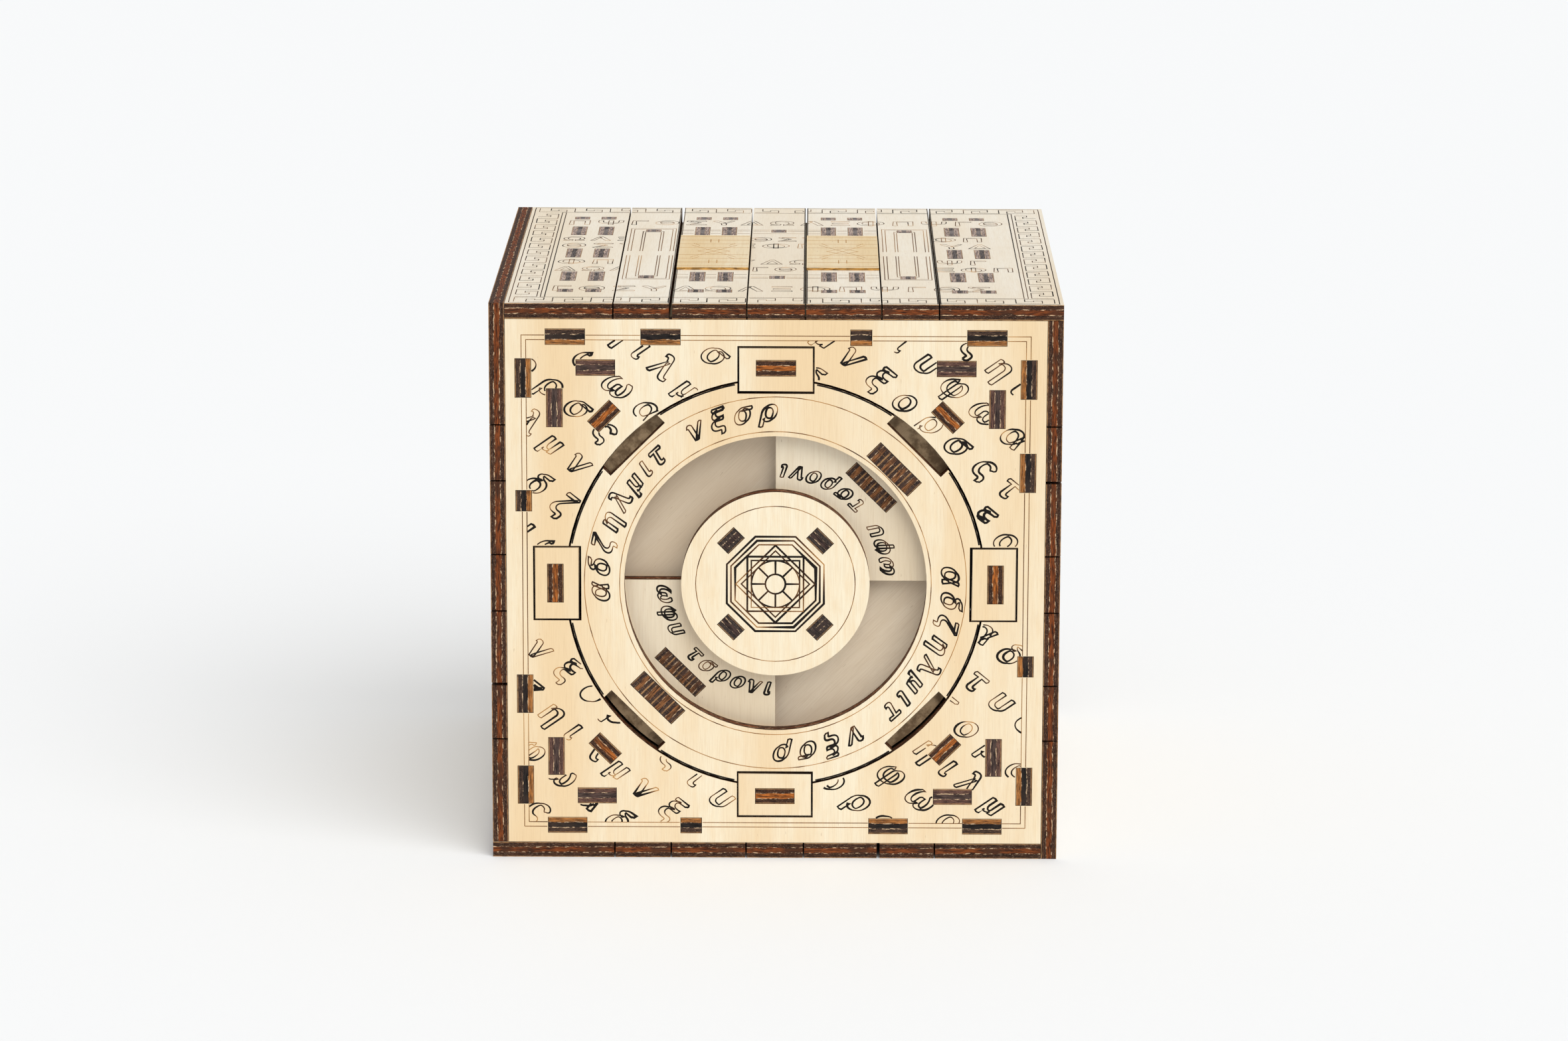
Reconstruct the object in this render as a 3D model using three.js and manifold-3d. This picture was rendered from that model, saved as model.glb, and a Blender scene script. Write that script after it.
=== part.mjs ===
// Laser-cut plywood puzzle cube: a slatted outer shell around a box with a round lid.
// Millimetres, +Z up. The lid faces -Y. The origin is at the centre of the underside.
import * as THREE from 'three';
import { mergeVertices } from 'three/addons/utils/BufferGeometryUtils.js';
import Module from 'manifold-3d';

const wasm = await Module();
wasm.setup();

// ---- driving dimensions ----
const CUBE = 110; // outer side of the slatted shell
const SHEET = 3; // plywood thickness
const HALF = CUBE / 2;
const SHELL_IN = HALF - SHEET; // inner face of the slats, measured from the cube's centre line
const SLAT_SEAMS = [-31.2, -20.2, -5.6, 5.6, 20.2, 31.2]; // across one side, from its middle
const SLAT_GAP = 0.3;
const WIDE_GAP = 0.6; // the loosest seam, between the second and third slats
const WIDE_SEAM = 1;
const GLUE_FIT = 0.1; // clearance round a glued tenon
const RUN_FIT = 0.3; // clearance round anything that slides or turns

const WALL_IN = 47; // inner walls that carry the slats
const WALL_OUT = WALL_IN + SHEET;
const WALL_TENONS = [[-40.4, 7.5], [-22.1, 7.5], [16.3, 4], [40.4, 7.5]]; // place, length

const RAIL_IN = 41; // guide frames and bolts share one level under the walls
const RAIL_OUT = RAIL_IN + SHEET;
const FRAME_HALF = 38.3;
const FRAME_TENONS = [[-34.6, 7.4], [34.6, 7.4]];
const FRAME_BRIDGE = 12; // bar across the frame's rear end

const BOLT_HALF = 12;
const BOLT_BACK = 35; // rear end of the bolt plate
const BOLT_TRAVEL = 4;
const BOLT_TENON = 7.5;
const BOLT_RIB = 20; // half the length of the rib that joins slat and bolt
const TAB_HALF = 7.15;
const TAB_IN = 37.9;
const TAB_OUT = 46.5;

const SLIDER_TRAVEL = 12;
const SLIDER_RIB = 25; // half the length of a sliding slat's ribs
const RIB_SPREAD = 2.75; // a pair of ribs stands this far each side of its slat's middle
const END_SLAT_RIBS = 38.2; // the middle of the rib pair under each end slat
const TILE_THICK = 0.5;
const TILE_LONG = 37;

const BRACE_AT = 33 * Math.SQRT2; // corner braces, along the diagonals
const BRACE_WIDE = 16;
const BRACE_TENON = 5.8;

const RING_OUT = 40.2;
const RING_IN = 29.2;
const NOTCH_IN = 37.5; // flat inner end of a rim notch
const NOTCH_HALF = 7.4;
const POST_AT = 32.2; // posts that tie the ring to the floor behind it
const POST = [11.1, 3.7]; // along the rim, across it
const DIAL_OUT = 29.9;
const DISC_OUT = 18.2;
const HUB_OUT = 17.5;
const PEG_AT = 12.15; // pegs that tie the centre disc to the dial
const PEG = [4.35, 2.9];
const WELL_OUT = 30.3; // the well in the lid tray that the dial turns in
const ROUND_STEPS = 96;
const PAST = 1; // how far joined blocks run into each other, and cutters run past a face

const FRONT = -HALF; // front faces of the plate, the ring, the tabs and the disc
const LAYER_1 = FRONT + SHEET; // back of the front layer
const DIAL_FRONT = LAYER_1 + RUN_FIT;
const DIAL_BACK = DIAL_FRONT + SHEET;
const FLOOR_FRONT = DIAL_BACK + RUN_FIT;
const FLOOR_BACK = FLOOR_FRONT + SHEET;

const SIDES = ['top', 'right', 'bottom', 'left']; // clockwise, seen from the front
const BOLT_SLAT = 3; // slats are counted from 0 at a side's left end
const SLIDING = [2, 4];
const TILED = ['top', 'right', 'left']; // the underside stays flat to stand on

const colours = {
  birch: [0xf3dfbb, 0.75],
  core: [0xd9bc8c, 0.8],
  smoked: [0xb9a58c, 0.85],
  tile: [0xf1d08c, 0.65],
};

// ---- helpers: u runs across a side, y is depth, v is the distance out from the centre line ----
function box(u0, u1, y0, y1, v0, v1) {
  const shape = new THREE.BoxGeometry(u1 - u0, y1 - y0, v1 - v0);
  return shape.translate((u0 + u1) / 2, (y0 + y1) / 2, (v0 + v1) / 2);
}

function disc(radius, y0, y1) {
  const shape = new THREE.CylinderGeometry(radius, radius, y1 - y0, ROUND_STEPS);
  return shape.translate(0, (y0 + y1) / 2, 0);
}

// A block whose middle lies at a distance from the axis, turned about it by an angle.
function turnedBlock(along, across, at, y0, y1, angle) {
  return box(-along / 2, along / 2, y0, y1, at - across / 2, at + across / 2).rotateY(angle);
}

function solid(shape) {
  const plain = shape.clone();
  plain.deleteAttribute('normal');
  plain.deleteAttribute('uv');
  const welded = mergeVertices(plain, 1e-5);
  const mesh = new wasm.Mesh({
    numProp: 3,
    vertProperties: Float32Array.from(welded.attributes.position.array),
    triVerts: Uint32Array.from(welded.index.array),
  });
  return new wasm.Manifold(mesh);
}

function join(shapes) {
  return shapes.map(solid).reduce((whole, next) => whole.add(next));
}

function cut(whole, shapes) {
  return shapes.map(solid).reduce((rest, tool) => rest.subtract(tool), whole);
}

function addMesh(parent, name, body, colour) {
  const { vertProperties, triVerts } = body.getMesh();
  const geometry = new THREE.BufferGeometry();
  geometry.setAttribute('position', new THREE.BufferAttribute(Float32Array.from(vertProperties), 3));
  geometry.setIndex(new THREE.BufferAttribute(Uint32Array.from(triVerts), 1));
  geometry.computeVertexNormals();
  const [color, roughness] = colours[colour];
  const mesh = new THREE.Mesh(geometry, new THREE.MeshStandardMaterial({ color, roughness, metalness: 0 }));
  mesh.name = name;
  parent.add(mesh);
}

// ---- tenons, and the mortises that take them ----
function tenons(places, v0, v1, y0, y1, fit = 0) {
  return places.map(([at, long]) => {
    const reach = long / 2 + fit;
    return box(at - reach, at + reach, y0, y1, v0 - fit, v1 + fit);
  });
}

function endTenons(places, v0, v1) {
  return [
    ...tenons(places, v0, v1, FRONT, LAYER_1 + PAST),
    ...tenons(places, v0, v1, -LAYER_1 - PAST, HALF),
  ];
}

// Every mortise that the front and back plates share, all the way round.
function plateMortises() {
  const cuts = [];
  SIDES.forEach((side, turn) => {
    const angle = turn * Math.PI / 2;
    const here = [
      ...tenons(WALL_TENONS, WALL_IN, WALL_OUT, -HALF - PAST, HALF + PAST, GLUE_FIT),
      ...tenons(FRAME_TENONS, RAIL_IN, RAIL_OUT, -HALF - PAST, HALF + PAST, GLUE_FIT),
    ];
    here.forEach((shape) => cuts.push(shape.rotateY(angle)));
    const wide = BRACE_TENON + 2 * GLUE_FIT;
    const deep = SHEET + 2 * GLUE_FIT;
    cuts.push(turnedBlock(wide, deep, BRACE_AT, -HALF - PAST, HALF + PAST, angle + Math.PI / 4));
  });
  return cuts;
}

// ---- the fixed core ----
function plate(y0, y1) {
  const half = SHELL_IN - GLUE_FIT;
  return join([box(-half, half, y0, y1, -half, half)]);
}

function frontPlate() {
  const opening = disc(RING_OUT + 0.4, FRONT - PAST, LAYER_1 + PAST);
  const pockets = SIDES.map((side, turn) => {
    const pocket = box(-NOTCH_HALF, NOTCH_HALF, FRONT - PAST, LAYER_1 + PAST, NOTCH_IN, TAB_OUT + RUN_FIT);
    return pocket.rotateY(turn * Math.PI / 2);
  });
  return cut(plate(FRONT, LAYER_1), [opening, ...pockets, ...plateMortises()]);
}

function backPlate() {
  return cut(plate(-LAYER_1, HALF), plateMortises());
}

function wall() {
  const board = box(-WALL_IN + RUN_FIT, WALL_OUT, LAYER_1, -LAYER_1, WALL_IN, WALL_OUT);
  const slots = [box(
    -SHEET / 2 - RUN_FIT, SHEET / 2 + RUN_FIT,
    -BOLT_RIB - RUN_FIT, BOLT_RIB + BOLT_TRAVEL + RUN_FIT, WALL_IN - PAST, WALL_OUT + PAST,
  )];
  SLIDING.flatMap(ribPlaces).forEach((at) => {
    const half = SHEET / 2 + RUN_FIT;
    const back = SLIDER_RIB + SLIDER_TRAVEL + RUN_FIT;
    slots.push(box(at - half, at + half, -SLIDER_RIB - RUN_FIT, back, WALL_IN - PAST, WALL_OUT + PAST));
  });
  return cut(join([board, ...endTenons(WALL_TENONS, WALL_IN, WALL_OUT)]), slots);
}

function guideFrame() {
  const board = box(-FRAME_HALF, FRAME_HALF, LAYER_1, -LAYER_1, RAIL_IN, RAIL_OUT);
  const half = BOLT_HALF + RUN_FIT;
  const way = box(-half, half, LAYER_1 - PAST, -LAYER_1 - FRAME_BRIDGE, RAIL_IN - PAST, RAIL_OUT + PAST);
  return cut(join([board, ...endTenons(FRAME_TENONS, RAIL_IN, RAIL_OUT)]), [way]);
}

function cornerBrace() {
  return join([
    turnedBlock(BRACE_WIDE, SHEET, BRACE_AT, LAYER_1, -LAYER_1, Math.PI / 4),
    turnedBlock(BRACE_TENON, SHEET, BRACE_AT, FRONT, HALF, Math.PI / 4),
  ]);
}

// ---- the slats ----
// Slat edges on one side, from its left end to its right end.
function slatEdges(index) {
  const gapAt = (seam) => (seam === WIDE_SEAM ? WIDE_GAP : SLAT_GAP) / 2;
  const first = index === 0;
  const last = index === SLAT_SEAMS.length;
  const left = first ? -SHELL_IN + GLUE_FIT : SLAT_SEAMS[index - 1] + gapAt(index - 1);
  const right = last ? HALF : SLAT_SEAMS[index] - gapAt(index);
  return [left, right];
}

// Middles of the ribs under a slat: pairs under the wide slats, one under the narrow ones.
function ribPlaces(index) {
  const middles = [-END_SLAT_RIBS, 0, 0, 0, 0, 0, END_SLAT_RIBS];
  for (let inner = 1; inner < SLAT_SEAMS.length; inner += 1) {
    middles[inner] = (SLAT_SEAMS[inner - 1] + SLAT_SEAMS[inner]) / 2;
  }
  const middle = middles[index];
  return index % 2 === 0 ? [middle - RIB_SPREAD, middle + RIB_SPREAD] : [middle];
}

function board(index) {
  const [left, right] = slatEdges(index);
  return box(left, right, -HALF, HALF, SHELL_IN, HALF);
}

function ribs(index, y0, y1, v0) {
  return ribPlaces(index).map((at) => box(at - SHEET / 2, at + SHEET / 2, y0, y1, v0, SHELL_IN + PAST));
}

// A fixed slat's ribs rest on the wall below it.
function fixedSlat(index) {
  const reach = SHELL_IN - PAST;
  return join([board(index), ...ribs(index, -reach, reach, WALL_OUT)]);
}

// A sliding slat's two ribs pass through slots in the wall, and one foot below holds them there.
function slidingSlat(index) {
  const places = ribPlaces(index);
  const foot = box(
    places[0] - SHEET / 2, places[1] + SHEET / 2,
    -SLIDER_RIB, SLIDER_RIB, RAIL_OUT + RUN_FIT, WALL_IN - RUN_FIT,
  );
  return join([board(index), ...ribs(index, -SLIDER_RIB, SLIDER_RIB, WALL_IN - PAST), foot]);
}

// The middle slat's rib goes right down to the bolt plate.
function boltSlat() {
  return join([board(BOLT_SLAT), ...ribs(BOLT_SLAT, -BOLT_RIB, BOLT_RIB, RAIL_OUT)]);
}

function slat(index) {
  if (index === BOLT_SLAT) {
    return boltSlat();
  }
  return SLIDING.includes(index) ? slidingSlat(index) : fixedSlat(index);
}

function tile(index) {
  const [left, right] = slatEdges(index);
  return join([box(left, right, -TILE_LONG / 2, TILE_LONG / 2, HALF, HALF + TILE_THICK)]);
}

// ---- the bolts ----
function boltPlate() {
  const start = LAYER_1 + RUN_FIT;
  return join([
    box(-BOLT_HALF, BOLT_HALF, start, BOLT_BACK, RAIL_IN, RAIL_OUT),
    box(-BOLT_TENON / 2, BOLT_TENON / 2, FRONT, start + PAST, RAIL_IN, RAIL_OUT),
  ]);
}

function boltTab() {
  const block = join([box(-TAB_HALF, TAB_HALF, FRONT, LAYER_1, TAB_IN, TAB_OUT)]);
  return cut(block, tenons([[0, BOLT_TENON]], RAIL_IN, RAIL_OUT, FRONT - PAST, LAYER_1 + PAST, GLUE_FIT));
}

// ---- the lid and its dial ----
const DIAGONALS = [Math.PI / 4, 5 * Math.PI / 4]; // upper right and lower left

function rimNotch(y0, y1, angle) {
  return box(-NOTCH_HALF, NOTCH_HALF, y0, y1, NOTCH_IN, RING_OUT + PAST).rotateY(angle);
}

function lidRing() {
  const hole = disc(RING_IN, FRONT - PAST, LAYER_1 + PAST);
  const notches = Array.from({ length: 8 }, (unused, step) => (
    rimNotch(FRONT - PAST, LAYER_1 + PAST, step * Math.PI / 4)
  ));
  const mortises = DIAGONALS.map((angle) => turnedBlock(
    POST[0] + 2 * GLUE_FIT, POST[1] + 2 * GLUE_FIT, POST_AT, FRONT - PAST, LAYER_1 + PAST, angle,
  ));
  return cut(join([disc(RING_OUT, FRONT, LAYER_1)]), [hole, ...notches, ...mortises]);
}

// A rim layer and a floor layer glued together, notched for the bolts, with the posts that hold the ring.
function lidTray() {
  const well = disc(WELL_OUT, LAYER_1 - PAST, FLOOR_FRONT);
  const notches = SIDES.map((side, turn) => rimNotch(LAYER_1 - PAST, FLOOR_BACK + PAST, turn * Math.PI / 2));
  const tray = cut(join([disc(RING_OUT, LAYER_1, FLOOR_BACK)]), [well, ...notches]);
  const posts = DIAGONALS.map((angle) => (
    turnedBlock(POST[0], POST[1], POST_AT, FRONT, LAYER_1 + PAST, angle)
  ));
  return tray.add(join(posts));
}

// Two solid quadrants on a hub; the floor shows through the other two.
function dialPlate() {
  const reach = DIAL_OUT + PAST;
  const quadrants = solid(box(0, reach, FRONT, 0, 0, reach)).add(solid(box(-reach, 0, FRONT, 0, -reach, 0)));
  const kept = solid(disc(DIAL_OUT, DIAL_FRONT, DIAL_BACK)).intersect(quadrants);
  const pegs = SIDES.map((side, turn) => turnedBlock(
    PEG[0], PEG[1], PEG_AT, FRONT, DIAL_FRONT + PAST, Math.PI / 4 + turn * Math.PI / 2,
  ));
  return kept.add(join([disc(HUB_OUT, DIAL_FRONT, DIAL_BACK), ...pegs]));
}

function centreDisc() {
  const mortises = SIDES.map((side, turn) => turnedBlock(
    PEG[0] + 2 * GLUE_FIT, PEG[1] + 2 * GLUE_FIT, PEG_AT, FRONT - PAST, LAYER_1 + PAST,
    Math.PI / 4 + turn * Math.PI / 2,
  ));
  return cut(join([disc(DISC_OUT, FRONT, LAYER_1)]), mortises);
}

// ---- assembly ----
const group = new THREE.Group();
const core = new THREE.Group();
core.position.z = HALF;
group.add(core);

addMesh(core, 'front_plate', frontPlate(), 'birch');
addMesh(core, 'back_plate', backPlate(), 'birch');

SIDES.forEach((side, turn) => {
  const flank = new THREE.Group();
  flank.rotation.y = turn * Math.PI / 2;
  core.add(flank);
  addMesh(flank, `wall_${side}`, wall(), 'core');
  addMesh(flank, `guide_frame_${side}`, guideFrame(), 'core');
  addMesh(flank, `corner_brace_${side}`, cornerBrace(), 'core');
  addMesh(flank, `bolt_plate_${side}`, boltPlate(), 'core');
  addMesh(flank, `bolt_tab_${side}`, boltTab(), 'birch');
  for (let index = 0; index <= SLAT_SEAMS.length; index += 1) {
    addMesh(flank, `slat_${side}_${index + 1}`, slat(index), 'birch');
    if (SLIDING.includes(index) && TILED.includes(side)) {
      addMesh(flank, `tile_${side}_${index + 1}`, tile(index), 'tile');
    }
  }
});

addMesh(core, 'lid_ring', lidRing(), 'birch');
addMesh(core, 'lid_tray', lidTray(), 'smoked');
addMesh(core, 'dial_plate', dialPlate(), 'birch');
addMesh(core, 'centre_disc', centreDisc(), 'birch');

export default group;
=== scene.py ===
import itertools
import math

import bpy
from mathutils import Matrix, Vector, noise
from mathutils.geometry import interpolate_bezier


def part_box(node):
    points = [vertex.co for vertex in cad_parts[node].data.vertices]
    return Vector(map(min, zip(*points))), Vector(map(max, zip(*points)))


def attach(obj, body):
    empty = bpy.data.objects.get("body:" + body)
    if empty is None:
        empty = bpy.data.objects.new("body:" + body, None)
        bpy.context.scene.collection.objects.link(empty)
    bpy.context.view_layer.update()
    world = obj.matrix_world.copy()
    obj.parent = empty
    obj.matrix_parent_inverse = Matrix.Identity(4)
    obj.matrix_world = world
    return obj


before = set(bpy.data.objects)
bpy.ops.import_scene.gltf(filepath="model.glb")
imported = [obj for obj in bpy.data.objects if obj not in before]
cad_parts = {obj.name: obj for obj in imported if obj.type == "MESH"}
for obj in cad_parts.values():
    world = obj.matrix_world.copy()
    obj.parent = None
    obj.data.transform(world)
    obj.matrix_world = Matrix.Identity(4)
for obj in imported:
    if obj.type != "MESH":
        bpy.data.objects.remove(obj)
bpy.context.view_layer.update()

MM = 0.001
SHEET = 3.0  # plywood thickness, mm

# ---- places taken from the frame, in millimetres ----


def box_mm(node):
    low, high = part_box(node)
    return Vector(low) / MM, Vector(high) / MM


PLATE_LOW, PLATE_HIGH = box_mm("front_plate")
CENTRE_Z = (PLATE_LOW.z + PLATE_HIGH.z) / 2
HALF = -PLATE_LOW.y  # the shell's half width, which is also the front face's distance
RING_OUT = 40.2
RING_CLEAR = 36.9  # inside the rim notches
TRAY_BACK = box_mm("lid_tray")[1].y
DIAL_BACK = box_mm("dial_plate")[1].y
DIAL_FRONT = DIAL_BACK - SHEET
SIDES = ["top", "right", "bottom", "left"]
TILE_TOP = box_mm("tile_top_3")[1].z - CENTRE_Z

X = Vector((1, 0, 0))
Y = Vector((0, 1, 0))
Z = Vector((0, 0, 1))


# ---- camera, lights and stage ----
def add_camera():
    data = bpy.data.cameras.new("camera")
    data.lens = 126.5
    data.sensor_width = 36
    camera = bpy.data.objects.new("camera", data)
    bpy.context.collection.objects.link(camera)
    place = Vector((0.0068, -1.0900, 0.3033))
    pitch, yaw, roll = -0.2239, 0.005, -0.0031
    turn = Matrix.Rotation(yaw, 4, "Z") @ Matrix.Rotation(math.pi / 2 + pitch, 4, "X")
    camera.matrix_world = Matrix.Translation(place) @ turn @ Matrix.Rotation(-roll, 4, "Z")
    bpy.context.scene.camera = camera


def add_sun(direction, strength, softness):
    data = bpy.data.lights.new("sun", "SUN")
    data.energy = strength
    data.angle = math.radians(softness)
    sun = bpy.data.objects.new("sun", data)
    bpy.context.collection.objects.link(sun)
    sun.rotation_euler = Vector(direction).to_track_quat("Z", "Y").to_euler()


def add_stage():
    bpy.context.scene.view_settings.view_transform = "Standard"
    world = bpy.data.worlds.new("studio")
    bpy.context.scene.world = world
    world.use_nodes = True
    back = world.node_tree.nodes["Background"]
    back.inputs["Color"].default_value = (0.98, 0.99, 1.0, 1)
    back.inputs["Strength"].default_value = 0.635
    add_sun((0.45, -0.7, 0.95), 1.6, 55)
    bpy.ops.mesh.primitive_grid_add(x_subdivisions=8, y_subdivisions=8, size=6)
    floor = bpy.context.object
    floor.name = "floor"
    paper = bpy.data.materials.new("paper")
    paper.use_nodes = True
    shader = paper.node_tree.nodes["Principled BSDF"]
    shader.inputs["Base Color"].default_value = (0.95, 0.955, 0.955, 1)
    shader.inputs["Roughness"].default_value = 0.9
    floor.data.materials.append(paper)


add_camera()
add_stage()


# ---- node helpers ----
class Tree:
    """Makes nodes and links them, so a material reads as a list of steps."""

    def __init__(self, tree):
        self.tree = tree

    def node(self, kind, inputs=None, **settings):
        made = self.tree.nodes.new(kind)
        for key, value in settings.items():
            setattr(made, key, value)
        for key, value in (inputs or {}).items():
            if isinstance(value, bpy.types.NodeSocket):
                self.tree.links.new(value, made.inputs[key])
            else:
                made.inputs[key].default_value = value
        return made

    def math(self, operation, a, b=0.0, c=0.0):
        return self.node("ShaderNodeMath", {0: a, 1: b, 2: c}, operation=operation).outputs[0]

    def vector(self, operation, a, b=(0, 0, 0)):
        made = self.node("ShaderNodeVectorMath", {0: a, 1: b}, operation=operation)
        return made.outputs["Value" if operation == "DOT_PRODUCT" else "Vector"]

    def scale(self, a, factor):
        return self.node("ShaderNodeVectorMath", {0: a, 3: factor}, operation="SCALE").outputs[0]

    def mix(self, factor, a, b, blend="MIX"):
        made = self.node("ShaderNodeMix", {0: factor, 6: a, 7: b}, data_type="RGBA", blend_type=blend)
        return made.outputs[2]

    def noise(self, place, scale, detail=3.0, rough=0.55):
        made = self.node("ShaderNodeTexNoise", {
            "Vector": place, "Scale": scale, "Detail": detail, "Roughness": rough,
        })
        return made.outputs[0]

    def span(self, value, low, high, out_low=0.0, out_high=1.0):
        made = self.node("ShaderNodeMapRange", {
            0: value, 1: low, 2: high, 3: out_low, 4: out_high,
        }, interpolation_type="SMOOTHSTEP")
        return made.outputs[0]


def new_group(name, sockets_in, sockets_out):
    group = bpy.data.node_groups.new(name, "ShaderNodeTree")
    for label, kind in sockets_in:
        group.interface.new_socket(label, in_out="INPUT", socket_type="NodeSocket" + kind)
    for label, kind in sockets_out:
        group.interface.new_socket(label, in_out="OUTPUT", socket_type="NodeSocket" + kind)
    tree = Tree(group)
    return group, tree, tree.node("NodeGroupInput").outputs, tree.node("NodeGroupOutput").inputs


def squeeze(tree, place, along, factor):
    """The place, shortened along a direction, so that noise there is drawn out in it."""
    reach = tree.vector("DOT_PRODUCT", place, along)
    return tree.vector("SUBTRACT", place, tree.scale(along, tree.math("MULTIPLY", reach, 1 - factor)))


def build_face_group():
    """The face of a birch sheet: broad warm bands, fine drawn-out grain and small brown flecks."""
    group, t, into, out = new_group(
        "birch_face",
        [("Place", "Vector"), ("Grain", "Vector"), ("Pale", "Color"), ("Warm", "Color")],
        [("Color", "Color"), ("Height", "Float")],
    )
    place, grain = into["Place"], into["Grain"]
    bands = t.noise(squeeze(t, place, grain, 0.12), 0.055, 2.0)
    base = t.mix(t.span(bands, 0.38, 0.68), into["Pale"], into["Warm"])
    waves = t.noise(squeeze(t, place, grain, 0.05), 0.9, 3.0)
    base = t.mix(t.span(waves, 0.35, 0.75, 0, 0.35), base, into["Warm"])
    fine = t.noise(squeeze(t, place, grain, 0.035), 5.0, 3.0)
    deep = t.mix(1.0, into["Warm"], DEEP_GRAIN, "MULTIPLY")
    base = t.mix(t.span(fine, 0.4, 0.8, 0, 0.28), base, deep)
    mottle = t.noise(squeeze(t, place, grain, 0.4), 0.5, 3.0, 0.6)
    base = t.mix(t.span(mottle, 0.42, 0.7, 0, 0.3), base, into["Warm"])
    flecks = t.noise(squeeze(t, place, grain, 0.2), 2.6, 1.0)
    base = t.mix(t.span(flecks, 0.73, 0.8, 0, 0.35), base, (0.4, 0.24, 0.12, 1))
    t.tree.links.new(base, out["Color"])
    t.tree.links.new(fine, out["Height"])
    return group


def build_cut_group():
    """A laser-cut edge: two dark outer plies and a redder middle one, with pale glue-line flecks."""
    group, t, into, out = new_group(
        "laser_cut",
        [("Place", "Vector"), ("Across", "Vector"), ("Depth", "Float"),
         ("Outer", "Color"), ("Middle", "Color"), ("Inner", "Color")],
        [("Color", "Color"), ("Height", "Float")],
    )
    place, across = into["Place"], into["Across"]
    depth_part = t.scale(across, t.vector("DOT_PRODUCT", place, across))
    flat_part = t.vector("SUBTRACT", place, depth_part)
    streaked = t.vector("ADD", t.scale(depth_part, 6.0), t.scale(flat_part, 0.55))
    streaks = t.noise(streaked, 1.0, 4.0, 0.65)
    patches = t.noise(flat_part, 0.16, 2.0)
    wobble = t.math("MULTIPLY_ADD", t.noise(flat_part, 0.4, 3.0), 0.7, -0.35)
    depth = t.math("ADD", into["Depth"], wobble)
    from_middle = t.math("ABSOLUTE", depth)
    ply_colour = t.mix(t.span(depth, -0.1, 0.1), into["Inner"], into["Outer"])
    outer = t.mix(t.span(streaks, 0.35, 0.7), t.mix(1.0, ply_colour, (0.35, 0.3, 0.3, 1), "MULTIPLY"),
                  t.mix(1.0, ply_colour, (1.9, 1.7, 1.5, 1), "MULTIPLY"))
    middle = t.mix(t.span(streaks, 0.36, 0.64), t.mix(1.0, into["Middle"], (0.18, 0.16, 0.16, 1), "MULTIPLY"),
                   t.mix(1.0, into["Middle"], (1.3, 1.25, 1.15, 1), "MULTIPLY"))
    middle = t.mix(t.span(patches, 0.48, 0.68, 0, 0.75), middle, into["Outer"])
    outside = t.span(from_middle, 0.45, 0.6)
    base = t.mix(outside, middle, outer)
    glue = t.math("MULTIPLY", t.span(from_middle, 0.4, 0.5), t.span(from_middle, 0.68, 0.58))
    dashes = t.vector("ADD", t.scale(depth_part, 3.0), t.scale(flat_part, 0.9))
    crumbs = t.noise(dashes, 1.0, 4.0, 0.7)
    base = t.mix(t.math("MULTIPLY", glue, t.span(crumbs, 0.5, 0.6)), base, (0.66, 0.46, 0.28, 1))
    rim = t.span(t.math("ABSOLUTE", into["Depth"]), 1.28, 1.42)
    base = t.mix(t.math("MULTIPLY", rim, t.span(crumbs, 0.4, 0.56, 0.25, 0.8)), base, (0.5, 0.27, 0.11, 1))
    specks = t.noise(t.vector("ADD", t.scale(depth_part, 9.0), t.scale(flat_part, 2.6)), 1.0, 2.0, 0.6)
    speckled = t.math("MULTIPLY", outside, t.span(specks, 0.57, 0.67, 0, 0.32))
    base = t.mix(speckled, base, (0.42, 0.29, 0.2, 1))
    t.tree.links.new(base, out["Color"])
    t.tree.links.new(t.math("ADD", streaks, specks), out["Height"])
    return group


PALE = (0.94, 0.835, 0.63, 1)
WARM = (0.87, 0.66, 0.4, 1)
SLAT_PALE = (0.91, 0.83, 0.69, 1)
SLAT_WARM = (0.84, 0.71, 0.52, 1)
SCORCHED = (0.047, 0.021, 0.011, 1)
RED_PLY = (0.2, 0.052, 0.012, 1)
ORANGE_PLY = (0.42, 0.13, 0.025, 1)
BLACK_PLY = (0.018, 0.014, 0.013, 1)
GREY_PLY = (0.34, 0.29, 0.27, 1)
GREY_CORE = (0.12, 0.1, 0.1, 1)
# painted shade, mottled light and dark, for the floors of the ring's narrow rim notches
LIGHT_PAINTED_SHADE = (0.62, 0.52, 0.4, 1)
DARK_PAINTED_SHADE = (0.26, 0.2, 0.14, 1)
SOFT_BLACK = (0.01, 0.007, 0.005, 1)
DEEP_GRAIN = (0.72, 0.62, 0.5, 1)  # multiplies the warm colour in the finest grain

FACE_GROUP = build_face_group()
CUT_GROUP = build_cut_group()


def new_material(name):
    material = bpy.data.materials.new(name)
    material.use_nodes = True
    tree = Tree(material.node_tree)
    return material, tree, material.node_tree.nodes["Principled BSDF"]


def place_in_mm(tree, shift):
    where = tree.node("ShaderNodeTexCoord")
    return where, tree.vector("ADD", tree.scale(where.outputs["Object"], 1 / MM), tuple(shift))


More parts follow.
